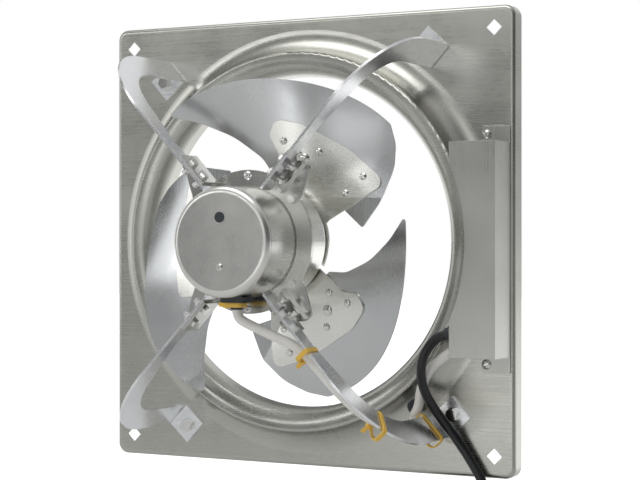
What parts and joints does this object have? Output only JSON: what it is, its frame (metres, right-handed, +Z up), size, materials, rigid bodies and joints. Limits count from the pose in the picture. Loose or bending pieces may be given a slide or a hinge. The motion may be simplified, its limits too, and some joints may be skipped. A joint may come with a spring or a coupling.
{
  "type": "exhaust fan",
  "caption": "Square stainless panel exhaust fan: bell-ring plate, hook stays holding the motor in front, twisted-blade impeller, terminal box and corded plug.",
  "frame": {"origin": "centre of the four mounting holes, on the wall plane (the rear edge of the plate's flange)", "axes": "+Y into the wall, the way the air goes; +Z up; +X to the right seen from the motor side"},
  "size_m": [0.4107, 0.1677, 0.5914],
  "materials": {
    "plate_steel": "satin pressed stainless",
    "stay_steel": "satin stainless strip",
    "bracket_steel": "satin stainless",
    "box_steel": "satin stainless",
    "cup_steel": "satin drawn stainless",
    "blade_steel": "fine satin stainless",
    "spider_steel": "satin stainless",
    "fastener_steel": "bright stainless",
    "bearing_steel": "ground steel",
    "hub_alloy": "turned aluminium",
    "core_iron": "stacked laminations",
    "winding": "varnished copper",
    "black_rubber": "matt",
    "cord_black": "satin sheath",
    "sleeve_white": "soft glass sleeve",
    "tie_yellow": "nylon",
    "plug_brass": "bright",
    "capacitor_plastic": "moulded"
  },
  "bodies": {
    "frame": {"cable_ties": "tie_yellow", "capacitor": "capacitor_plastic", "capacitor_strap": "bracket_steel", "coil_ties": "tie_yellow", "cord_gland": "black_rubber", "cover_plug": "black_rubber", "cover_screw": "fastener_steel", "flange_bolts": "fastener_steel", "flange_nuts": "fastener_steel", "flange_screws": "fastener_steel", "front_bearing_outer_ring": "bearing_steel", "lead_boot": "black_rubber", "lead_sleeve": "sleeve_white", "motor_bracket": "bracket_steel", "motor_front_cover": "cup_steel", "motor_rear_cover": "cup_steel", "mounting_plate": "plate_steel", "plate_grommet": "black_rubber", "plug_body": "cord_black", "plug_pins": "plug_brass", "power_cord": "cord_black", "power_cord_coil": "cord_black", "power_cord_end": "cord_black", "rear_bearing_outer_ring": "bearing_steel", "stator_core": "core_iron", "stator_windings": "winding", "stay_bolts": "fastener_steel", "stay_foot_bolts": "fastener_steel", "stay_foot_nuts": "fastener_steel", "stay_lower_left": "stay_steel", "stay_lower_right": "stay_steel", "stay_nuts": "fastener_steel", "stay_upper_left": "stay_steel", "stay_upper_right": "stay_steel", "terminal_block": "capacitor_plastic", "terminal_box_base": "bracket_steel", "terminal_box_cover": "box_steel", "terminal_box_screws": "fastener_steel", "terminal_screws": "fastener_steel", "wave_washer": "fastener_steel"},
    "impeller": {"rotor_core": "core_iron", "motor_shaft": "bearing_steel", "front_bearing_inner_ring": "bearing_steel", "front_bearing_balls": "bearing_steel", "rear_bearing_inner_ring": "bearing_steel", "rear_bearing_balls": "bearing_steel", "impeller_spider": "spider_steel", "impeller_hub": "hub_alloy", "shaft_collar": "fastener_steel", "shaft_washer": "fastener_steel", "shaft_nut": "fastener_steel", "blade_rivets": "fastener_steel", "hub_rivets": "fastener_steel", "blade_1": "blade_steel", "blade_2": "blade_steel", "blade_3": "blade_steel"}
  },
  "joints": [
    {"name": "fan_spin", "type": "hinge", "parent": "frame", "child": "impeller", "pos_m": [0, -0.06, 0], "axis": [0, 1, 0], "continuous": true}
  ]
}
